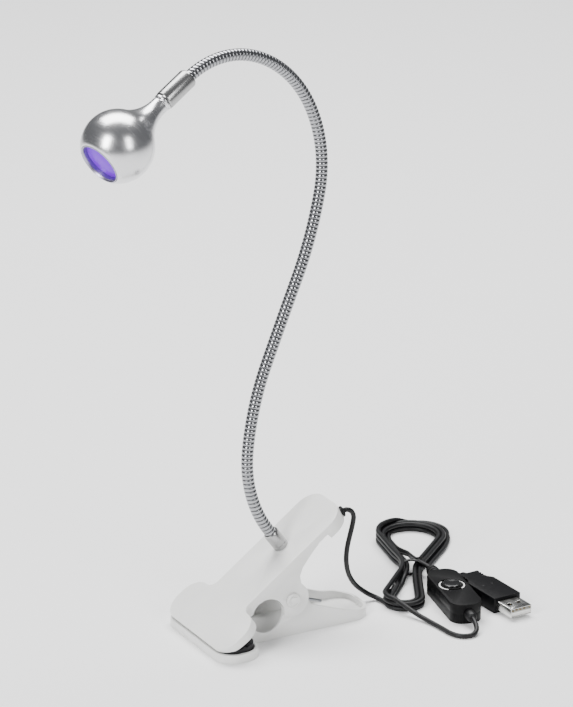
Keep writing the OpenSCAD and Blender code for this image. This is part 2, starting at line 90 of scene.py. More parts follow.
centre = Vector((0, 0, 0.140))
turn, rise, away = math.radians(-29), math.radians(20.3), 2.0
back = Vector((math.sin(turn) * math.cos(rise), -math.cos(turn) * math.cos(rise), math.sin(rise)))
right = Vector((math.cos(turn), math.sin(turn), 0))
aim = centre + right * 0.0046 + back.cross(right) * 0.0012
camera = bpy.data.objects.new("camera", bpy.data.cameras.new("camera"))
camera.data.sensor_width = 36
camera.data.lens = 213.9
camera.location = aim + back * away
camera.rotation_mode = "QUATERNION"
camera.rotation_quaternion = (-back).to_track_quat("-Z", "Y")
camera.data.clip_end = 50
bpy.context.scene.collection.objects.link(camera)
bpy.context.scene.camera = camera

world = bpy.data.worlds.new("studio")
world.use_nodes = True
world.node_tree.nodes["Background"].inputs["Color"].default_value = linear("#E6E8EC")
world.node_tree.nodes["Background"].inputs["Strength"].default_value = 0.22
bpy.context.scene.world = world
for name, place, size, power in (
    ("left_lamp", (-1.36, -0.58, 0.95), (0.5, 0.9), 26),
    ("right_lamp", (0.23, -1.45, 0.85), (0.4, 0.9), 10),
    ("top_lamp", (0.3, 0.7, 1.8), (2.0, 1.2), 84),
):
    lamp = bpy.data.objects.new(name, bpy.data.lights.new(name, "AREA"))
    lamp.data.shape = "RECTANGLE"
    lamp.data.size, lamp.data.size_y = size
    lamp.data.energy = power
    lamp.location = place
    lamp.rotation_mode = "QUATERNION"
    lamp.rotation_quaternion = (centre - Vector(place)).to_track_quat("-Z", "Y")
    bpy.context.scene.collection.objects.link(lamp)

floor_bm = bmesh.new()
bmesh.ops.create_grid(floor_bm, x_segments=4, y_segments=4, size=9)
floor = bpy.data.objects.new("floor", bpy.data.meshes.new("floor"))
floor_bm.to_mesh(floor.data)
floor_bm.free()
bpy.context.scene.collection.objects.link(floor)
# Matt white paint, with the faint unevenness of a rolled coat about 4 mm across
paint, tree, shader, place = start_material("matt_white_paint", Base_Color=linear("#FAFAFA"), Roughness=0.7)
mottle = add_node(tree, "ShaderNodeTexNoise", {"Scale": 250.0, "Detail": 2.0}, [("Vector", place)])
uneven = add_node(
    tree, "ShaderNodeMapRange", {"To Min": 0.62, "To Max": 0.78}, [("Value", mottle.outputs["Fac"])]
)
tree.links.new(uneven.outputs["Result"], shader.inputs["Roughness"])
dress(floor, paint)

# The power cord: soft two-core PVC lead, 2.5 mm thick, tied in a figure of long turns with
# one loose loop. It leaves the upper handle, is wound four times, runs through the switch,
# goes back up the bundle once more and ends in the plug.

CORD = 0.0025
tail_route = [
    (31.7, -9, 57.3), (33.1, -9, 57.6), (35, -9, 57.1), (36.8, -9, 55.5), (37.6, -8.9, 52.8),
    (37, -8.7, 48.5), (35.9, -8.2, 43), (35.1, -7.3, 37.3), (35.3, -5.9, 31.5), (36.6, -4, 25.8),
    (39, -1.6, 20.2), (42.4, 0.9, 14.8), (46.4, 3, 10), (50.6, 4.2, 6.2), (54.2, 4.1, 3.4),
    (57, 2.6, 1.9), (58.1, -0.2, 1.4),
]
switch_route = [(-0.6, -5.6, 6.1), (-2.6, -8.2, 5.4), (-5, -9.5, 5)]
return_route = [
    (-65.6, -29.2, 5), (-68.8, -30.2, 4.2), (-72.8, -30.8, 2.6), (-76.4, -29.2, 1.5),
    (-78.2, -25.4, 1.25), (-77.2, -21, 1.25), (-73.8, -17.4, 1.25), (-69.2, -14.2, 1.25),
    (-64.4, -10.6, 1.3), (-59.8, -6.4, 1.8), (-55.4, -1.8, 2.8), (-51.2, 2.6, 4.3), (-47.6, 6.6, 5.8),
]
plug_route = [
    (9, -9.3, 1.4), (5, -9, 1.5), (1.4, -10.4, 1.6), (-1.4, -13.8, 1.5), (-4, -18, 1.8),
    (-7.2, -22, 2.9), (-11, -25, 4),
]
hank = Matrix.Translation((0.0893, 0.0222, 0)) @ Matrix.Rotation(math.radians(60), 4, "Z")
on_switch = hank @ Matrix.Translation((-0.005, -0.0095, 0)) @ Matrix.Rotation(math.radians(198), 4, "Z")
on_plug = hank @ Matrix.Translation((-0.011, -0.025, 0)) @ Matrix.Rotation(math.radians(213), 4, "Z")


def circle_run(x, y, r, start, end, low, high, count):
    """Points round part of a circle in the hank's own directions, rising or falling evenly."""
    return [
        (x + r * math.cos(math.radians(start + (end - start) * i / count)),
         y + r * math.sin(math.radians(start + (end - start) * i / count)),
         low + (high - low) * i / count)
        for i in range(count + 1)
    ]


# The four full turns lie two side by side and two high: outer low, outer high, inner high, inner low
rows = [(3.95, 1.25), (3.95, 3.8), (1.4, 3.8), (1.4, 1.25)]
turns = []
for i, (side, high) in enumerate(rows):
    big, small = 12.8 + side, 5.3 + side
    turns += circle_run(-37, 4.2, small, 100, 272, high, high, 9)
    turns += [
        (-18, -0.5 - side * 0.93, high), (-6, -0.1 - side, high), (4, -0.9 - side, high),
        (18, -5.5 - side * 1.02, high)
    ]
    if i < 3:
        to_side, to_high = rows[i + 1]
        turns += circle_run(42, 0, big, -108.7, 108.7, high, high, 14)
        turns += [(18, 5.6 + side * 1.02, high), (4, 0.9 + side, high)]
        early = (-9, -16, -23)[2 - i]
        for step in (0, 0.5, 1):
            x = early - 8 * step
            turns.append((x, side + (to_side - side) * step - (x + 2) * 0.28, high + (to_high - high) * step))
    else:
        # The last one leaves the bundle inside the big loop and climbs over the waist to the switch
        turns += circle_run(42, 0, big, -108.7, 50, high, high, 10)
        turns += [
            (43, 11.2, 1.25), (36, 9.4, 1.3), (29, 7.2, 1.9), (21.5, 4.6, 3.6), (14.5, 2.2, 5.4),
            (8, 0.2, 6.35), (3, -2.5, 6.5)
        ]
loose_loop = (
    circle_run(-37, 4.2, 9.25, 150, 75, 6.3, 6.35, 4)
    + [(-18, 8.4, 6.35), (-6, 5.1, 6.35), (4, 5, 6.35), (18, 9.7, 6.35)]
    + circle_run(42, 0, 16.75, 108.7, 62, 6.35, 6.35, 4)
    + [(54.6, 10.9, 6.2), (58.7, 6.6, 5.0), (61.9, 1.6, 2.6)]
    + circle_run(50, -5, 13.75, 8, -97, 1.6, 1.25, 8)
    + [(42.2, -18.9, 1.25), (32, -17, 1.25), (20, -13, 1.25)]
)
# Along the switch and the plug from where the cord enters each; it passes beside the button
through_switch = [
    (6, 0, 5), (11, 0, 5), (15.2, 0, 5), (20.4, -3.2, 4.8), (25.6, -5.1, 4.55),
    (38.4, -5.1, 4.55), (43.6, -3.2, 4.8), (49.4, 0, 5), (53, 0, 5), (58, 0, 5),
]
into_plug = [(6, 0, 4), (16, 0, 4), (28, 0, 4)]


def smooth_route(points, gap):
    """Evenly spaced points, in metres, on one smooth curve through points that are in metres."""
    points = [Vector(p) for p in points]
    ends = [2 * points[0] - points[1]] + points + [2 * points[-1] - points[-2]]
    fine = []
    for a, b, c, d in zip(ends, ends[1:], ends[2:], ends[3:]):
        for i in range(12):
            t = i / 12
            fine.append(
                0.5 * (
                    (2 * b) + (c - a) * t + (2 * a - 5 * b + 4 * c - d) * t * t
                    + (3 * b - a - 3 * c + d) * t ** 3
                )
            )
    fine.append(points[-1])
    spaced, since = [fine[0]], 0.0
    for a, b in zip(fine, fine[1:]):
        since += (b - a).length
        if since >= gap:
            spaced.append(b)
            since = 0.0
    return spaced


def tube_along(name, points, radii, sides):
    """A round closed tube along points; radii is one radius, or one for each point."""
    line = bpy.data.curves.new(name, "CURVE")
    line.dimensions = "3D"
    line.bevel_depth = 1.0
    line.bevel_resolution = (sides - 4) // 2
    line.use_fill_caps = True
    run = line.splines.new("POLY")
    run.points.add(len(points) - 1)
    for i, p in enumerate(points):
        run.points[i].co = (*p, 1)
        run.points[i].radius = radii[i] if isinstance(radii, list) else radii
    guide = bpy.data.objects.new(name + "_guide", line)
    bpy.context.scene.collection.objects.link(guide)
    bpy.context.view_layer.update()
    mesh = bpy.data.meshes.new_from_object(guide.evaluated_get(bpy.context.evaluated_depsgraph_get()))
    bpy.data.objects.remove(guide)
    bm = bmesh.new()
    bm.from_mesh(mesh)
    bmesh.ops.remove_doubles(bm, verts=bm.verts, dist=1e-6)
    bmesh.ops.recalc_face_normals(bm, faces=bm.faces)
    bm.to_mesh(mesh)
    bm.free()
    mesh.materials.clear()
    mesh.name = name
    mesh.shade_smooth()
    piece = bpy.data.objects.new(name, mesh)
    bpy.context.scene.collection.objects.link(piece)
    return piece


route = [
    place @ (Vector(p) / 1000)
    for place, run in (
        (Matrix(), tail_route), (hank, turns + switch_route), (on_switch, through_switch),
        (hank, return_route + loose_loop + plug_route), (on_plug, into_plug),
    )
    for p in run
]
cord_line = smooth_route(route, 0.0016)
cord = tube_along("power_cord", cord_line, CORD / 2, 12)

# Extruded soft PVC: satin, nearly black, with a faint drawn grain along it and dusty wear
cord_pvc, tree, shader, place = start_material(
    "soft_black_pvc", Base_Color=linear("#0B0B0C"), Roughness=0.46, Specular_IOR_Level=0.3
)
cloud = add_node(tree, "ShaderNodeTexNoise", {"Scale": 120.0, "Detail": 3.0}, [("Vector", place)])
sheen = add_node(
    tree, "ShaderNodeMapRange", {"To Min": 0.38, "To Max": 0.55}, [("Value", cloud.outputs["Fac"])]
)
tree.links.new(sheen.outputs["Result"], shader.inputs["Roughness"])
tone = add_node(
    tree,
    "ShaderNodeMix",
    {"data_type": "RGBA", 6: linear("#080809"), 7: linear("#111113")},
    [(0, cloud.outputs["Fac"])]
)
tree.links.new(tone.outputs[2], shader.inputs["Base Color"])
pits = add_node(tree, "ShaderNodeTexNoise", {"Scale": 1800.0, "Detail": 1.0}, [("Vector", place)])
skin = add_node(
    tree, "ShaderNodeBump", {"Strength": 0.12, "Distance": 0.0001}, [("Height", pits.outputs["Fac"])]
)
tree.links.new(skin.outputs["Normal"], shader.inputs["Normal"])
dress(cord, cord_pvc)
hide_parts("cord_tail", "cord_hank", "cord_to_switch", "cord_from_switch", "cord_to_plug")
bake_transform(cord)

# The twist tie: a PVC-covered wire wrapped round the hank's waist, its two ends twisted
# together on top and bent apart.

tie_points = []
for i in range(85):
    a = math.radians(-90 + 360 * 2 * i / 84)
    across = (5.45 - 0.75 * math.sin(a) ** 8) * math.cos(a)
    upright = 4.15 + 3.75 * math.sin(a)
    tie_points.append(hank @ Vector(((-0.85 + 1.7 * i / 84) / 1000, across / 1000, max(upright, 0.5) / 1000)))
tie_band = tube_along("twist_tie_band", smooth_route(tie_points, 0.0006), 0.00055, 10)
tie_tails = []
for side in (-1, 1):
    tail = []
    for i in range(30):
        s = i / 29
        a = math.radians(side * 90 + 900 * s)
        twist = 0.75 * max(0.0, 1 - s * 1.6)
        tail.append(hank @ Vector((
            (0.2 + 11 * s * (0.9 if side > 0 else 0.35)) / 1000,
            (side * 7.5 * max(0, s - 0.25) + twist * math.cos(a)) / 1000,
            (8.1 + twist * 0.3 * math.sin(a) - 1.4 * max(0, s - 0.4)) / 1000,
        )))
    tie_tails.append(
        tube_along(
            "twist_tie_tail_%s" % ("left" if side > 0 else "right"), smooth_route(tail, 0.0006), 0.00055, 10
        )
    )
# Glossy black PVC over steel wire, creased where it was twisted
tie_pvc, tree, shader, place = start_material(
    "glossy_black_tie_pvc", Base_Color=linear("#0C0C0D"), Roughness=0.3, Coat_Weight=0.25,
    Coat_Roughness=0.2
)
crease = add_node(tree, "ShaderNodeTexNoise", {"Scale": 900.0, "Detail": 2.0}, [("Vector", place)])
creased = add_node(
    tree, "ShaderNodeBump", {"Strength": 0.35, "Distance": 0.0002}, [("Height", crease.outputs["Fac"])]
)
tree.links.new(creased.outputs["Normal"], shader.inputs["Normal"])
for piece in [tie_band] + tie_tails:
    dress(piece, tie_pvc)
    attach(piece, "lower_half")
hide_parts("twist_tie")

# The inline switch: two moulded ABS shells screwed together round a small board, with a
# ribbed strain relief at one end, a stub at the other and a round push button in a groove.


def softened(node, name, width, steps=3, angle=32):
    """A copy of a moulded node with its doubles merged and its edges rounded by width."""
    bm = bmesh.new()
    bm.from_mesh(nodes[node].data)
    bmesh.ops.remove_doubles(bm, verts=bm.verts, dist=0.00002)
    bmesh.ops.dissolve_limit(bm, angle_limit=math.radians(1.5), verts=bm.verts, edges=bm.edges)
    mesh = bpy.data.meshes.new(name)
    bm.to_mesh(mesh)
    bm.free()
    mesh.materials.clear()
    mesh.shade_smooth()
    piece = bpy.data.objects.new(name, mesh)
    bpy.context.scene.collection.objects.link(piece)
    rounding = piece.modifiers.new("rounding", "BEVEL")
    rounding.width = width
    rounding.segments = steps
    rounding.limit_method = "ANGLE"
    rounding.angle_limit = math.radians(angle)
    rounding.harden_normals = True
    rounding.use_clamp_overlap = True
    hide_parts(node)
    return piece


def lathed(name, profile, place, steps=96, sharp=50):
    """A turned piece: a profile of (radius, height) in millimetres, spun about its own axis."""
    bm = bmesh.new()
    line = [bm.verts.new((r / 1000, 0, z / 1000)) for r, z in profile]
    edges = [bm.edges.new(pair) for pair in zip(line, line[1:])]
    bmesh.ops.spin(
        bm, geom=line + edges, cent=(0, 0, 0), axis=(0, 0, 1), angle=math.tau, steps=steps, use_merge=True
    )
    bmesh.ops.remove_doubles(bm, verts=bm.verts, dist=1e-6)
    bmesh.ops.recalc_face_normals(bm, faces=bm.faces)
    bmesh.ops.transform(bm, matrix=place, verts=bm.verts)
    mesh = bpy.data.meshes.new(name)
    bm.to_mesh(mesh)
    bm.free()
    mesh.shade_smooth()
    mesh.set_sharp_from_angle(angle=math.radians(sharp))
    piece = bpy.data.objects.new(name, mesh)
    bpy.context.scene.collection.objects.link(piece)
    return piece


case_bottom = softened("switch_case_bottom", "switch_shell_lower", 0.0007)
case_top = softened("switch_case_top", "switch_shell_upper", 0.0007)
# Moulded black ABS with a fine spark-eroded texture, drawn coarser at 0.4 mm so that it shows
case_abs, tree, shader, place = start_material(
    "spark_textured_black_abs", Base_Color=linear("#060607"), Roughness=0.5, Specular_IOR_Level=0.14
)
spark = add_node(tree, "ShaderNodeTexNoise", {"Scale": 2500.0, "Detail": 2.0}, [("Vector", place)])
rubbed = add_node(tree, "ShaderNodeTexNoise", {"Scale": 90.0, "Detail": 3.0}, [("Vector", place)])
gloss = add_node(
    tree, "ShaderNodeMapRange", {"To Min": 0.38, "To Max": 0.55}, [("Value", rubbed.outputs["Fac"])]
)
tree.links.new(gloss.outputs["Result"], shader.inputs["Roughness"])
texture = add_node(
    tree, "ShaderNodeBump", {"Strength": 0.18, "Distance": 0.0001}, [("Height", spark.outputs["Fac"])]
)
tree.links.new(texture.outputs["Normal"], shader.inputs["Normal"])
for piece in (case_bottom, case_top):
    dress(piece, case_abs)
    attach(piece, "lower_half")

along = on_switch @ Matrix.Translation((0, 0, 0.005)) @ Matrix.Rotation(math.radians(90), 4, "Y")
boot_profile = [(1.3, 0), (2.3, 0), (2.45, 0.3), (2.45, 1.9)]
for z in (2.0, 4.6, 7.2, 9.8):
    rib = 2.95 + z * 0.08
    boot_profile += [
        (rib - 0.45, z), (rib - 0.1, z + 0.12), (rib, z + 0.35), (rib, z + 0.95), (rib - 0.1, z + 1.2),
        (rib - 0.5, z + 1.35), (rib - 0.55, z + 2.4)
    ]
boot_profile = boot_profile[:-1] + [(3.35, 11.3), (3.35, 11.95), (1.3, 11.95), (1.3, 0)]
boot = lathed("switch_strain_relief", boot_profile, along, 64, 60)
nib = lathed(
    "switch_end_stub",
    [
        (1.3, 58.05), (2.7, 58.05), (2.75, 58.5), (2.6, 61.4), (2.3, 62.9), (1.8, 63.5), (1.3, 63.6),
        (1.3, 58.05)
    ],
    along,
    64,
    70
)
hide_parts("switch_boot")
for piece in (boot, nib):
    dress(piece, cord_pvc)
    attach(piece, "lower_half")

button_place = on_switch @ Matrix.Translation((0.032, 0, 0))
button = lathed(
    "push_button",
    [
        (0, 7.6), (3.4, 7.6), (3.4, 7), (4.6, 7), (4.65, 7.2), (4.65, 10.4), (4.55, 10.75), (4.3, 11.0),
        (3.9, 11.08), (3.4, 10.95), (2.2, 10.74), (1.1, 10.63), (0, 10.6)
    ],
    button_place,
    72,
    60
)
# Polished black ABS, glossier than the case, faintly scratched by fingers
button_abs, tree, shader, place = start_material(
    "polished_black_abs", Base_Color=linear("#080809"), Roughness=0.2, Coat_Weight=0.4, Coat_Roughness=0.12
)
scratches = add_node(tree, "ShaderNodeTexNoise", {"Scale": 700.0, "Detail": 4.0}, [("Vector", place)])
worn = add_node(
    tree, "ShaderNodeMapRange", {"To Min": 0.14, "To Max": 0.3}, [("Value", scratches.outputs["Fac"])]
)
tree.links.new(worn.outputs["Result"], shader.inputs["Roughness"])
dress(button, button_abs)
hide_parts("switch_button")
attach(button, "button")

# A white band in the button's groove, kept only as a crescent at each side of the switch
ring_piece = lathed(
    "button_ring",
    [(5.75, 9.45), (6.45, 9.45), (6.45, 9.75), (6.3, 9.82), (5.9, 9.82), (5.75, 9.75), (5.75, 9.45)],
    button_place,
    72,
    60
)
ring_bm = bmesh.new()
ring_bm.from_mesh(ring_piece.data)
# A face goes when its direction from the button's axis has more than this share along the switch
along_switch = 0.8
in_switch = button_place.inverted()
gone = [
    f for f in ring_bm.faces
    if abs((in_switch @ f.calc_center_median()).xy.normalized().x) > along_switch
]
bmesh.ops.delete(ring_bm, geom=gone, context="FACES")
bmesh.ops.holes_fill(ring_bm, edges=[e for e in ring_bm.edges if e.is_boundary], sides=12)
bmesh.ops.recalc_face_normals(ring_bm, faces=ring_bm.faces)
ring_bm.to_mesh(ring_piece.data)
ring_bm.free()
white_crescents_material, tree, shader, place = start_material(
    "white_groove_crescents", Base_Color=linear("#F2F2F0"), Roughness=0.3
)
flow = add_node(tree, "ShaderNodeTexNoise", {"Scale": 600.0, "Detail": 1.0}, [("Vector", place)])
level = add_node(
    tree, "ShaderNodeBump", {"Strength": 0.15, "Distance": 0.0002}, [("Height", flow.outputs["Fac"])]
)
tree.links.new(level.outputs["Normal"], shader.inputs["Normal"])
dress(ring_piece, white_crescents_material)
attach(ring_piece, "lower_half")

# Paper phenolic board and the small steel parts inside the switch
phenolic, tree, shader, place = start_material(
    "paper_phenolic_board", Base_Color=linear("#B98C5A"), Roughness=0.5
)
fibre = add_node(tree, "ShaderNodeTexNoise", {"Scale": 900.0, "Detail": 3.0}, [("Vector", place)])
brown = add_node(
    tree,
    "ShaderNodeMix",
    {"data_type": "RGBA", 6: linear("#A67A48"), 7: linear("#C69A68")},
    [(0, fibre.outputs["Fac"])]
)
tree.links.new(brown.outputs[2], shader.inputs["Base Color"])
dress(nodes["switch_board"], phenolic)
dress(nodes["switch_plunger_block"], case_abs)
# Bright zinc-plated steel, slightly cloudy
zinc, tree, shader, place = start_material(
    "zinc_plated_steel", Base_Color=linear("#C4C6CA"), Metallic=1.0, Roughness=0.3
)
cloudy = add_node(tree, "ShaderNodeTexNoise", {"Scale": 500.0, "Detail": 3.0}, [("Vector", place)])
dull = add_node(
    tree, "ShaderNodeMapRange", {"To Min": 0.22, "To Max": 0.4}, [("Value", cloudy.outputs["Fac"])]
)
tree.links.new(dull.outputs["Result"], shader.inputs["Roughness"])
dress(nodes["switch_screws"], zinc)
# The return spring: three turns of 0.4 mm wire, from the plunger block's seat to the button's recess
spring_foot, spring_rise, spring_turns, steps_a_turn = 0.0044, 0.003, 3, 32
return_spring = tube_along(
    "button_return_spring",
    [
        button_place @ Vector((
            0.0014 * math.cos(a), 0.0014 * math.sin(a),
            spring_foot + spring_rise * a / (spring_turns * math.tau),
        ))
        for a in (math.radians(360 / steps_a_turn * i) for i in range(spring_turns * steps_a_turn + 1))
    ],
    0.0002,
    8
)
dress(return_spring, zinc)
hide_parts("button_spring")
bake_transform(return_spring)

# The plug: a USB-A connector with a folded steel shell, overmoulded in soft black PVC with
# a ribbed neck, two grip dimples and a white contact carrier.

overmould = softened("plug_overmould", "plug_grip", 0.0007)
shell = softened("plug_shell", "plug_steel_shell", 0.00012, 2)
# Moulded PVC, satin, with the slight orange-peel of an overmould
grip_pvc, tree, shader, place = start_material(
    "moulded_black_pvc", Base_Color=linear("#060608"), Roughness=0.46, Specular_IOR_Level=0.16
)
peel = add_node(tree, "ShaderNodeTexNoise", {"Scale": 450.0, "Detail": 2.0}, [("Vector", place)])
rolled = add_node(
    tree, "ShaderNodeBump", {"Strength": 0.2, "Distance": 0.0003}, [("Height", peel.outputs["Fac"])]
)
tree.links.new(rolled.outputs["Normal"], shader.inputs["Normal"])
patchy = add_node(
    tree, "ShaderNodeMapRange", {"To Min": 0.32, "To Max": 0.5}, [("Value", peel.outputs["Fac"])]
)
tree.links.new(patchy.outputs["Result"], shader.inputs["Roughness"])
dress(overmould, grip_pvc)
# Nickel-plated strip steel: bright, with fine rolling lines along the shell
strip, tree, shader, place = start_material(
    "nickel_plated_strip", Base_Color=linear("#D3D3D0"), Metallic=1.0, Roughness=0.22
)
turned = add_node(
    tree,
    "ShaderNodeMapping",
    {"Rotation": (0, 0, math.radians(-273)), "Scale": (0.04, 1, 1)},
    [("Vector", place)]
)
rolling = add_node(
    tree, "ShaderNodeTexNoise", {"Scale": 5000.0, "Detail": 2.0}, [("Vector", turned.outputs["Vector"])]
)
lines = add_node(
    tree, "ShaderNodeMapRange", {"To Min": 0.14, "To Max": 0.34}, [("Value", rolling.outputs["Fac"])]
)
tree.links.new(lines.outputs["Result"], shader.inputs["Roughness"])
dress(shell, strip)
for piece in (overmould, shell):
    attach(piece, "lower_half")
dimples = []
for x, y in ((17, 2.6), (17, -2.6)):
    spot = on_plug @ Matrix.Translation(((5.5 + x) / 1000, y / 1000, 0))
    dimple = lathed(
        "grip_dot_%d" % (len(dimples) + 1), [(0, 7.9), (0.9, 7.9), (0.9, 8.02), (0.6, 8.12), (0, 8.16)],
        spot, 24, 60
    )
    dress(dimple, grip_pvc)
    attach(dimple, "lower_half")
    dimples.append(dimple)
# Moulded white nylon, slightly milky
nylon, tree, shader, place = start_material("white_nylon", Base_Color=linear("#ECECE8"), Roughness=0.45)
milk = add_node(tree, "ShaderNodeTexNoise", {"Scale": 400.0, "Detail": 2.0}, [("Vector", place)])
milky = add_node(
    tree,
    "ShaderNodeMix",
    {"data_type": "RGBA", 6: linear("#E4E4DF"), 7: linear("#F2F2EF")},
    [(0, milk.outputs["Fac"])]
)
tree.links.new(milky.outputs[2], shader.inputs["Base Color"])
dress(nodes["plug_tongue"], nylon)
# Thin gold flash over spring brass
gold, tree, shader, place = start_material(
    "gold_flashed_brass", Base_Color=linear("#D9B45C"), Metallic=1.0, Roughness=0.25
)
wipe = add_node(tree, "ShaderNodeTexNoise", {"Scale": 1500.0, "Detail": 2.0}, [("Vector", place)])
wiped = add_node(
    tree, "ShaderNodeMapRange", {"To Min": 0.18, "To Max": 0.36}, [("Value", wipe.outputs["Fac"])]
)
tree.links.new(wiped.outputs["Result"], shader.inputs["Roughness"])
dress(nodes["plug_contacts"], gold)

# The clamp: two moulded white ABS halves that turn on one steel pin, the upper one with
# round bosses over the pin's ends, and black rubber pads held in the jaws.

# Moulded ABS, gloss, with soft sink marks a few millimetres across and faint handling haze
abs_white, tree, shader, place = start_material(
    "gloss_white_abs", Base_Color=linear("#E6E6E4"), Roughness=0.3, Specular_IOR_Level=0.5
)
sink = add_node(tree, "ShaderNodeTexNoise", {"Scale": 130.0, "Detail": 1.0}, [("Vector", place)])
sunk = add_node(
    tree, "ShaderNodeBump", {"Strength": 0.12, "Distance": 0.0006}, [("Height", sink.outputs["Fac"])]
)
tree.links.new(sunk.outputs["Normal"], shader.inputs["Normal"])
haze = add_node(tree, "ShaderNodeTexNoise", {"Scale": 60.0, "Detail": 4.0}, [("Vector", place)])
hazed = add_node(
    tree, "ShaderNodeMapRange", {"To Min": 0.24, "To Max": 0.4}, [("Value", haze.outputs["Fac"])]
)
tree.links.new(hazed.outputs["Result"], shader.inputs["Roughness"])
warm = add_node(
    tree,
    "ShaderNodeMix",
    {"data_type": "RGBA", 6: linear("#E0E0DE"), 7: linear("#EAEAE8")},
    [(0, haze.outputs["Fac"])]
)
tree.links.new(warm.outputs[2], shader.inputs["Base Color"])
lower = softened("clamp_lower", "lower_moulding", 0.0006)
upper = softened("clamp_upper", "upper_moulding", 0.0006)
for piece, body in ((lower, "lower_half"), (upper, "upper_half")):
    dress(piece, abs_white)
    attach(piece, body)
for side, node in ((-1, "pivot_cap_near"), (1, "pivot_cap_far")):
    cap = softened(node, node + "_moulding", 0.00015, 2)
    dress(cap, abs_white)
    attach(cap, "lower_half")

# Moulded rubber, matt, with talc-like bloom in patches
rubber, tree, shader, place = start_material(
    "matt_black_rubber", Base_Color=linear("#1B1B1D"), Roughness=0.75
)
bloom = add_node(tree, "ShaderNodeTexNoise", {"Scale": 200.0, "Detail": 4.0}, [("Vector", place)])
bloomed = add_node(
    tree,
    "ShaderNodeMix",
    {"data_type": "RGBA", 6: linear("#161618"), 7: linear("#252528")},
    [(0, bloom.outputs["Fac"])]
)
tree.links.new(bloomed.outputs[2], shader.inputs["Base Color"])
rough = add_node(
    tree, "ShaderNodeBump", {"Strength": 0.25, "Distance": 0.0002}, [("Height", bloom.outputs["Fac"])]
)
tree.links.new(rough.outputs["Normal"], shader.inputs["Normal"])
for node, body in (("lower_jaw_pad", "lower_half"), ("upper_jaw_pad", "upper_half")):
    pad = softened(node, node + "_moulding", 0.0003, 2)
    dress(pad, rubber)
    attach(pad, body)

dress(nodes["pivot_pin"], zinc)

# The torsion spring: hardened steel wire 1.4 mm thick, six and a bit turns round the pin,
# with one leg under each clamp half.

coil, leg_up, leg_down = [], 30, 31
for i in range(241):
    t = i / 240
    a = math.radians(140 + (250 + 1800 - 140) * t)
    coil.append(Vector((4.2 * math.cos(a), -5.7 + 11.4 * t, 19.5 + 4.2 * math.sin(a))))
first = [
    coil[0] + Vector((math.sin(math.radians(140)), 0, -math.cos(math.radians(140)))) * d
    for d in (leg_up, 24, 18, 12, 6)
]
last = [
    coil[-1] + Vector((-math.sin(math.radians(250)), 0, math.cos(math.radians(250)))) * d
    for d in (6, 12, 18, 24, leg_down)
]
spring = tube_along("wound_spring", [p / 1000 for p in first + coil + last], 0.0007, 12)
# Oil-tempered drawn wire: grey-blue steel with fine drawing lines
wire, tree, shader, place = start_material(
    "drawn_spring_wire", Base_Color=linear("#A6A9AE"), Metallic=1.0, Roughness=0.32
)
drawn = add_node(tree, "ShaderNodeTexNoise", {"Scale": 1600.0, "Detail": 3.0}, [("Vector", place)])
scored = add_node(
    tree, "ShaderNodeMapRange", {"To Min": 0.24, "To Max": 0.45}, [("Value", drawn.outputs["Fac"])]
)
tree.links.new(scored.outputs["Result"], shader.inputs["Roughness"])
dress(spring, wire)
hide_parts("torsion_spring")
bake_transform(spring)

# The foot of the neck: a turned and nickel-plated ferrule pressed on the neck's end, its
# spigot through the upper half held by a washer and a brass nut.

plate = Matrix.Translation((-0.04625, 0, 0.0064)) @ Matrix.Rotation(math.radians(-36), 4, "Y")
foot = plate @ Matrix.Translation((0.060, 0, 0))
ferrule = lathed(
    "foot_ferrule",
    [
        (1.75, -6.3), (2.7, -6.3), (2.93, -6.0), (2.93, 0.02), (3.55, 0.02), (3.8, 0.25), (3.8, 2.2),
        (3.68, 2.35), (3.68, 2.6), (3.8, 2.75), (3.8, 9.5), (3.6, 10.0), (3.3, 10.45), (3.06, 10.45),
        (3.06, 2.2), (1.75, 2.2), (1.75, -6.3),
    ],
    foot,
    96,
    35
)
# Turned brass, nickel plated to a satin shine, with turning lines a third of a millimetre apart
nickel, tree, shader, place = start_material(
    "satin_nickel_plate", Base_Color=linear("#A4A4A4"), Metallic=1.0, Roughness=0.27
)
axis = add_node(
    tree,
    "ShaderNodeMapping",
    {
        "vector_type": "TEXTURE", "Location": tuple(foot.translation),
        "Rotation": (0, math.radians(-36), 0), "Scale": (30, 30, 1)
    },
    [("Vector", place)]
)
turning = add_node(
    tree, "ShaderNodeTexNoise", {"Scale": 3000.0, "Detail": 2.0}, [("Vector", axis.outputs["Vector"])]
)
turned = add_node(
    tree, "ShaderNodeBump", {"Strength": 0.05, "Distance": 0.0001}, [("Height", turning.outputs["Fac"])]
)
tree.links.new(turned.outputs["Normal"], shader.inputs["Normal"])
dress(ferrule, nickel)
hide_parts("base_ferrule")
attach(ferrule, "upper_half")
dress(nodes["lock_washer"], zinc)
# Plain turned brass, a little tarnished
brass, tree, shader, place = start_material(
    "plain_turned_brass", Base_Color=linear("#C9A557"), Metallic=1.0, Roughness=0.3
)
tarnish = add_node(tree, "ShaderNodeTexNoise", {"Scale": 350.0, "Detail": 4.0}, [("Vector", place)])
tarnished = add_node(
    tree,
    "ShaderNodeMix",
    {"data_type": "RGBA", 6: linear("#A98745"), 7: linear("#D8B76A")},
    [(0, tarnish.outputs["Fac"])]
)
tree.links.new(tarnished.outputs[2], shader.inputs["Base Color"])
dress(nodes["base_nut"], brass)
# The lead inside the clamp, and the grommet where the cord leaves the handle
for node in ("lead_in_clamp", "cord_grommet"):
    dress(nodes[node], cord_pvc)

# The neck: a bendable steel goose-neck, two wires wound in one another and chrome plated.
# Its ribs are 2 mm apart, drawn as rings, and the lead runs through its middle.

step = 0.0432
bends = [47.5, 18.5, 1, -13, -40, -46.5, -51]
neck_frames = [plate @ Matrix.Translation((0.060, 0, 0.012)) @ Matrix.Rotation(math.radians(12.5), 4, "Z")]


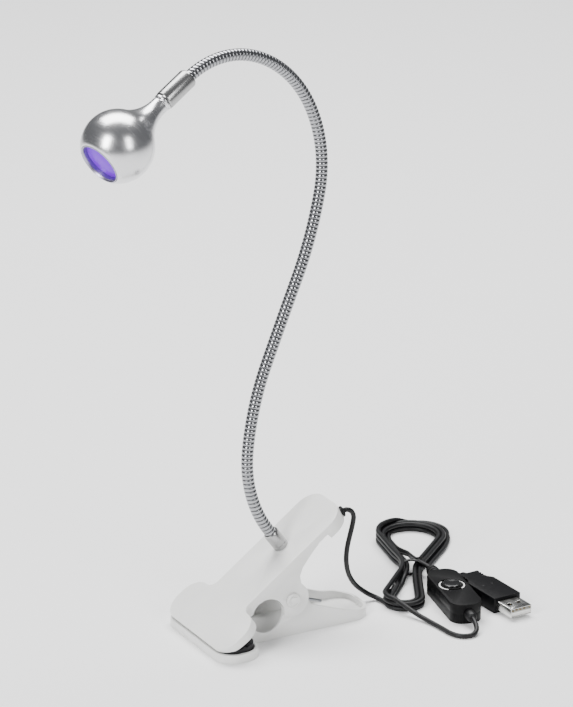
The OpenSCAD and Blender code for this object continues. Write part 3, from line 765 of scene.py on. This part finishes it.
def along_bend(bend, part):
    """The step from a bending place to a point part of the way to the next one."""
    r = step / math.radians(bend)
    return Matrix.Translation((r, 0, 0)) @ Matrix.Rotation(
        math.radians(bend * part), 4, "Y"
    ) @ Matrix.Translation((-r, 0, 0))


for bend in bends:
    neck_frames.append(neck_frames[-1] @ along_bend(bend, 1))


def neck_point(distance):
    """The point that far along the neck from where its straight foot ends, in metres."""
    k = min(max(int(distance // step), 0), 6)
    if distance < 0:
        return neck_frames[0] @ Vector((0, 0, distance))
    if distance > 7 * step:
        return neck_frames[7] @ Vector((0, 0, distance - 7 * step))
    return (neck_frames[k] @ along_bend(bends[k], distance / step - k)).translation


# Chrome over steel wire: mirror-bright ribs, the grooves rougher and darkened with painted shade, darkest
# 0.35 mm down
chrome, tree, shader, place = start_material(
    "chromed_gooseneck_steel", Base_Color=linear("#C9CACC"), Metallic=1.0, Roughness=0.2
)
deep = add_node(tree, "ShaderNodeAttribute", {"attribute_name": "groove"})
# Painted shade: the base colour goes from the ribs' grey to near black towards the bottom of each groove
painted_groove_shade = add_node(
    tree,
    "ShaderNodeMix",
    {"data_type": "RGBA", 6: linear("#A6A7AA"), 7: linear("#262629")},
    [(0, deep.outputs["Fac"])]
)
tree.links.new(painted_groove_shade.outputs[2], shader.inputs["Base Color"])
groove_roughness = add_node(
    tree, "ShaderNodeMapRange", {"To Min": 0.16, "To Max": 0.5}, [("Value", deep.outputs["Fac"])]
)
tree.links.new(groove_roughness.outputs["Result"], shader.inputs["Roughness"])
# The lead's plain grey sheath, unseen inside the neck
sheath, tree, shader, place = start_material("grey_pvc_sheath", Base_Color=linear("#3A3A3D"), Roughness=0.5)
dusty = add_node(tree, "ShaderNodeTexNoise", {"Scale": 300.0, "Detail": 2.0}, [("Vector", place)])
dust = add_node(
    tree, "ShaderNodeMapRange", {"To Min": 0.42, "To Max": 0.6}, [("Value", dusty.outputs["Fac"])]
)
tree.links.new(dust.outputs["Result"], shader.inputs["Roughness"])

pitch = 0.0020
rib_shape = [
    (0.0, 0.00270, 1.0), (0.07, 0.00280, 0.7), (0.22, 0.00294, 0.1), (0.5, 0.0030, 0.0),
    (0.78, 0.00294, 0.1), (0.93, 0.00280, 0.7)
]
hose_start, hose_end = -0.0098, 7 * step + 0.008
ribs = int((hose_end - hose_start) / pitch)
for j in range(1, 7):
    start = hose_start if j == 1 else (j - 0.5) * step
    end = hose_end if j == 6 else (j + 0.5) * step
    first_rib = round((start - hose_start) / pitch)
    last_rib = ribs if j == 6 else round((end - hose_start) / pitch)
    spots = [
        (hose_start + (rib + s) * pitch, r, g) for rib in range(first_rib, last_rib) for s,
        r,
        g in rib_shape
    ]
    spots.append((hose_start + last_rib * pitch, 0.00270, 1.0))
    hose = tube_along("gooseneck_%d" % j, [neck_point(d) for d, r, g in spots], [r for d, r, g in spots], 28)
    depth = hose.data.attributes.new("groove", "FLOAT", "POINT")
    line = [neck_point(d) for d, r, g in spots]
    for v in hose.data.vertices:
        away_from = min((v.co - p).length for p in line)
        depth.data[v.index].value = min(1.0, max(0.0, (0.0030 - away_from) / 0.0003))
    lead = tube_along(
        "neck_lead_run_%d" % j,
        smooth_route([neck_point(start + (end - start) * i / 24) for i in range(25)], 0.0015),
        0.00125,
        10
    )
    dress(hose, chrome)
    dress(lead, sheath)
    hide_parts(*(["hose_1", "hose_2"] if j == 1 else ["hose_%d" % (j + 1)]))
    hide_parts(*(["neck_lead_1", "neck_lead_2"] if j == 1 else ["neck_lead_%d" % (j + 1)]))
    for piece in (hose, lead):
        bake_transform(piece)

# The lamp head: a ferrule like the foot's but longer, and a turned aluminium body, a waisted
# neck flowing into a ball that is cut flat in front round a recessed violet lens.

head = neck_frames[7]
ball = head @ Matrix.Translation((0, 0, 0.050))
head_ferrule = lathed(
    "neck_ferrule",
    [
        (1.75, 8.0), (3.06, 8.0), (3.06, -0.35), (4.1, -0.35), (4.45, -0.2), (4.8, 0.4), (4.85, 0.8),
        (4.85, 16.6), (4.75, 17.1), (4.45, 17.55), (3.28, 17.55), (3.28, 22.4), (1.75, 22.4), (1.75, 8.0),
    ],
    head,
    96,
    35
)
# The same nickel plate, its turning lines square to the head's own axis
head_nickel = nickel.copy()
head_nickel.name = "satin_nickel_head_ferrule"
head_turn = head.to_euler("XYZ")
for found in head_nickel.node_tree.nodes:
    if found.type == "MAPPING":
        found.inputs["Location"].default_value = head.translation
        found.inputs["Rotation"].default_value = head_turn
dress(head_ferrule, head_nickel)
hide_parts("head_ferrule")

neck_r, ball_r, flare_r, cut = 4.3, 17.4, 21.0, 13.0
neck_top = 17.6 + 0.1 - 50
flare_z = -math.sqrt((ball_r + flare_r) ** 2 - (neck_r + flare_r) ** 2)
touch = math.atan2(-flare_z, neck_r + flare_r)
profile = [
    (3.4, neck_top + 0.05), (4.3, neck_top + 0.05), (4.6, neck_top + 0.25), (4.6, neck_top + 1.0),
    (4.4, neck_top + 1.2), (4.3, neck_top + 1.45)
]
profile += [(4.3 - 0.42 * math.sin(math.pi * i / 6), neck_top + 1.5 + i / 6) for i in range(7)]
profile += [
    (neck_r + flare_r - flare_r * math.cos(touch * i / 20), flare_z + flare_r * math.sin(touch * i / 20))
    for i in range(1, 21)
]
start_angle, end_angle = math.atan2(profile[-1][1], profile[-1][0]), math.asin((cut - 0.35) / ball_r)
profile += [
    (
        ball_r * math.cos(start_angle + (end_angle - start_angle) * i / 30),
        ball_r * math.sin(start_angle + (end_angle - start_angle) * i / 30)
    )
    for i in range(1, 31)
]
profile += [(11.35, 12.95), (11.15, 13.0), (10.98, 12.85), (10.97, 8.0)]
inner = [math.asin(10.95 / 15.4), -math.asin(7 / 15.4)]
profile += [
    (15.4 * math.cos(a), 15.4 * math.sin(a))
    for a in (math.acos(10.97 / 15.4) + (inner[1] - math.acos(10.97 / 15.4)) * i / 12 for i in range(13))
]
profile += [(1.72, -7.0), (1.72, neck_top + 6), (3.4, neck_top + 6), (3.4, neck_top + 0.05)]
housing = lathed("lamp_body", profile, ball, 128, 30)
# Turned aluminium, satin after polishing: fine rings round the axis that widen each highlight
satin, tree, shader, place = start_material(
    "turned_satin_aluminium", Base_Color=linear("#D6D6D8"), Metallic=1.0, Roughness=0.24
)
centred = add_node(
    tree,
    "ShaderNodeMapping",
    {
        "vector_type": "TEXTURE", "Location": tuple(ball.translation),
        "Rotation": tuple(ball.to_euler("XYZ")), "Scale": (60, 60, 1)
    },
    [("Vector", place)]
)
rings = add_node(
    tree, "ShaderNodeTexNoise", {"Scale": 2600.0, "Detail": 3.0}, [("Vector", centred.outputs["Vector"])]
)
ringed = add_node(
    tree, "ShaderNodeBump", {"Strength": 0.1, "Distance": 0.0001}, [("Height", rings.outputs["Fac"])]
)
tree.links.new(ringed.outputs["Normal"], shader.inputs["Normal"])
varied = add_node(
    tree, "ShaderNodeMapRange", {"To Min": 0.18, "To Max": 0.32}, [("Value", rings.outputs["Fac"])]
)
tree.links.new(varied.outputs["Result"], shader.inputs["Roughness"])
dress(housing, satin)
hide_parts("lamp_housing")

bezel = lathed(
    "lens_ring",
    [
        (9.9, 10.2), (10.75, 10.2), (10.88, 10.5), (10.88, 13.2), (10.75, 13.3), (10.55, 13.3),
        (10.3, 13.0), (9.95, 12.3), (9.9, 12.0), (9.9, 10.2)
    ],
    ball,
    128,
    40
)
# Clear-anodised aluminium ring, satin, that frames the lens; its base colour carries a painted violet
# reflection of the lens
anodised, tree, shader, place = start_material(
    "bright_ring_painted_violet_reflection", Base_Color=linear("#A9A6B8"), Metallic=1.0, Roughness=0.35
)
matt = add_node(tree, "ShaderNodeTexNoise", {"Scale": 900.0, "Detail": 3.0}, [("Vector", place)])
matted = add_node(
    tree, "ShaderNodeMapRange", {"To Min": 0.28, "To Max": 0.45}, [("Value", matt.outputs["Fac"])]
)
tree.links.new(matted.outputs["Result"], shader.inputs["Roughness"])
dress(bezel, anodised)
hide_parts("lens_bezel")

lens = lathed(
    "front_lens",
    [
        (0, 8.25), (10.6, 8.25), (10.68, 8.35), (10.68, 10.1), (10.0, 10.18), (9.4, 10.45), (8, 10.75),
        (5.5, 11.05), (2.8, 11.2), (0, 11.25)
    ],
    ball,
    96,
    60
)
# Clear acrylic lens lit violet from inside, brightest over the chip
acrylic, tree, shader, place = start_material(
    "violet_lit_acrylic", Base_Color=linear("#3A049A"), Roughness=0.22, IOR=1.49, Specular_IOR_Level=0.1,
    Emission_Strength=0.75
)
spot = add_node(
    tree,
    "ShaderNodeMapping",
    {
        "vector_type": "TEXTURE",
        "Location": tuple((ball @ Matrix.Translation((0, 0, 0.010))).translation),
        "Scale": (0.0125, 0.0125, 0.0125)
    },
    [("Vector", place)]
)
glow = add_node(
    tree, "ShaderNodeTexGradient", {"gradient_type": "SPHERICAL"}, [("Vector", spot.outputs["Vector"])]
)
lit = add_node(
    tree,
    "ShaderNodeMix",
    {"data_type": "RGBA", 6: linear("#7C00D6"), 7: linear("#A214F0")},
    [(0, glow.outputs["Fac"])]
)
tree.links.new(lit.outputs[2], shader.inputs["Emission Color"])
dress(lens, acrylic)
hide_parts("lens")
for piece in (head_ferrule, housing, bezel, lens):
    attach(piece, "lamp_head")

# What the lens hides: a metallised reflector, the round board with its chip, and the
# aluminium plate that takes its heat away
mirror, tree, shader, place = start_material(
    "vacuum_metallised_cup", Base_Color=linear("#E0E0E4"), Metallic=1.0, Roughness=0.08
)
film = add_node(tree, "ShaderNodeTexNoise", {"Scale": 500.0, "Detail": 2.0}, [("Vector", place)])
filmed = add_node(
    tree, "ShaderNodeMapRange", {"To Min": 0.05, "To Max": 0.15}, [("Value", film.outputs["Fac"])]
)
tree.links.new(filmed.outputs["Result"], shader.inputs["Roughness"])
dress(nodes["reflector"], mirror)
dress(nodes["heat_spreader"], satin)
mask, tree, shader, place = start_material("green_solder_mask", Base_Color=linear("#1F6B3A"), Roughness=0.35)
coat = add_node(tree, "ShaderNodeTexNoise", {"Scale": 700.0, "Detail": 2.0}, [("Vector", place)])
coated = add_node(
    tree,
    "ShaderNodeMix",
    {"data_type": "RGBA", 6: linear("#1A5E32"), 7: linear("#267A44")},
    [(0, coat.outputs["Fac"])]
)
tree.links.new(coated.outputs[2], shader.inputs["Base Color"])
dress(nodes["led_board"], mask)
phosphor, tree, shader, place = start_material(
    "ceramic_chip_silicone", Base_Color=linear("#E4D27A"), Roughness=0.3
)
spread = add_node(tree, "ShaderNodeTexNoise", {"Scale": 1200.0, "Detail": 2.0}, [("Vector", place)])
spreads = add_node(
    tree, "ShaderNodeMapRange", {"To Min": 0.22, "To Max": 0.42}, [("Value", spread.outputs["Fac"])]
)
tree.links.new(spreads.outputs["Result"], shader.inputs["Roughness"])
dress(nodes["led_chip"], phosphor)
